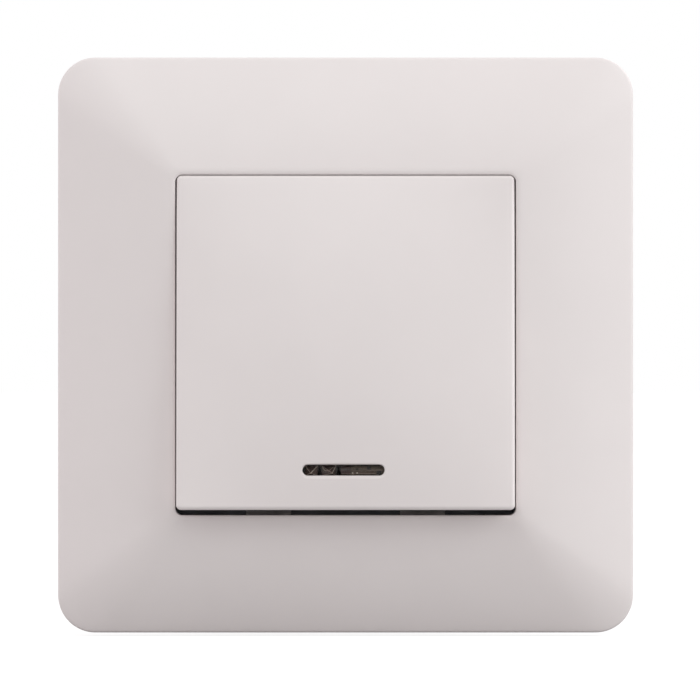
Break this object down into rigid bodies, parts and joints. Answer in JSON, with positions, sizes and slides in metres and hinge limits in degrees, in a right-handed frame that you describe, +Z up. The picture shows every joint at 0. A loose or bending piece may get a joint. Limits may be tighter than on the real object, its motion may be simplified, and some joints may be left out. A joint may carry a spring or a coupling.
{
  "type": "push button light switch",
  "caption": "Square wall push button switch: sprung tilting key with light window in a pillow-shaped cover frame, contact housing, terminals and spreading claws behind.",
  "frame": {"origin": "centre of the wall box screw slots, on the wall's surface", "axes": "+X to the right as the user sees the switch, +Y into the wall, +Z up"},
  "size_m": [0.082, 0.0387, 0.082],
  "materials": {
    "frame_plastic": "satin moulded, warm white",
    "key_plastic": "satin moulded, warm white",
    "lens_plastic": "clear moulded with prisms",
    "plate_steel": "zinc plated sheet",
    "mechanism_plastic": "moulded, off white",
    "housing_plastic": "moulded thermoset, light grey",
    "plunger_plastic": "moulded, dark grey",
    "holder_plastic": "moulded, dark grey",
    "lamp_glass": "clear tube",
    "resistor_coat": "lacquered",
    "tinned_wire": "tinned",
    "spring_steel": "drawn wire",
    "brass_strip": "stamped sheet",
    "brass_block": "machined",
    "silver_contact": "silver alloy",
    "claw_steel": "zinc plated, bent sheet",
    "screw_steel": "zinc plated"
  },
  "bodies": {
    "housing": {"cover_frame": "frame_plastic", "support_plate": "plate_steel", "mechanism_cover": "mechanism_plastic", "base_housing": "housing_plastic", "housing_screw_1": "screw_steel", "housing_screw_2": "screw_steel", "housing_screw_3": "screw_steel", "housing_screw_4": "screw_steel", "return_spring": "spring_steel", "lamp_holder": "holder_plastic", "indicator_lamp": "lamp_glass", "lamp_resistor": "resistor_coat", "fixed_contact_left": "silver_contact", "fixed_contact_right": "silver_contact", "terminal_block_left": "brass_block", "terminal_block_right": "brass_block", "contact_strip_left": "brass_strip", "contact_strip_right": "brass_strip", "lamp_lead_left": "tinned_wire", "lamp_lead_right": "tinned_wire"},
    "key": {"push_key": "key_plastic", "window_lens": "lens_plastic", "rocker_cradle": "mechanism_plastic"},
    "plunger": {"plunger": "plunger_plastic", "contact_bridge": "brass_strip", "bridge_spring": "spring_steel", "moving_contact_left": "silver_contact", "moving_contact_right": "silver_contact"},
    "claw_left": {"claw_left": "claw_steel"},
    "claw_right": {"claw_right": "claw_steel"},
    "claw_screw_left": {"claw_screw_left": "screw_steel"},
    "claw_screw_right": {"claw_screw_right": "screw_steel"},
    "terminal_screw_left": {"terminal_screw_left": "screw_steel"},
    "terminal_screw_right": {"terminal_screw_right": "screw_steel"}
  },
  "joints": [
    {"name": "key_press", "type": "hinge", "parent": "housing", "child": "key", "pos_m": [0, -0.00761, 0], "axis": [1, 0, 0], "range_deg": [0, 11], "stiffness_Nm_per_rad": 0.25, "springref_deg": -11.46},
    {"name": "plunger_slide", "type": "slide", "parent": "housing", "child": "plunger", "axis": [0, 1, 0], "range_m": [0, 0.002], "deforming": ["return_spring"]},
    {"name": "claw_spread_left", "type": "hinge", "parent": "housing", "child": "claw_left", "pos_m": [-0.0256, -0.00253, -0.008], "axis": [0, 0, 1], "range_deg": [0, 12]},
    {"name": "claw_spread_right", "type": "hinge", "parent": "housing", "child": "claw_right", "pos_m": [0.0256, -0.00253, -0.008], "axis": [0, 0, -1], "range_deg": [0, 12]},
    {"name": "claw_screw_turn_left", "type": "hinge", "parent": "claw_left", "child": "claw_screw_left", "pos_m": [-0.0256, -0.00253, -0.008], "axis": [0, 1, 0], "range_deg": [0, 2880]},
    {"name": "claw_screw_turn_right", "type": "hinge", "parent": "claw_right", "child": "claw_screw_right", "pos_m": [0.0256, -0.00253, -0.008], "axis": [0, 1, 0], "range_deg": [0, 2880]},
    {"name": "terminal_screw_turn_left", "type": "hinge", "parent": "housing", "child": "terminal_screw_left", "pos_m": [-0.0092, 0.0132, 0.017], "axis": [0, 0, 1], "range_deg": [0, 1440]},
    {"name": "terminal_screw_turn_right", "type": "hinge", "parent": "housing", "child": "terminal_screw_right", "pos_m": [0.0092, 0.0132, 0.017], "axis": [0, 0, 1], "range_deg": [0, 1440]}
  ],
  "couplings": [
    {"joint": "plunger_slide", "follows": "key_press", "m_per_rad": 0.010384},
    {"joint": "claw_spread_left", "follows": "claw_screw_turn_left", "ratio": 0.004166},
    {"joint": "claw_spread_right", "follows": "claw_screw_turn_right", "ratio": 0.004166}
  ]
}
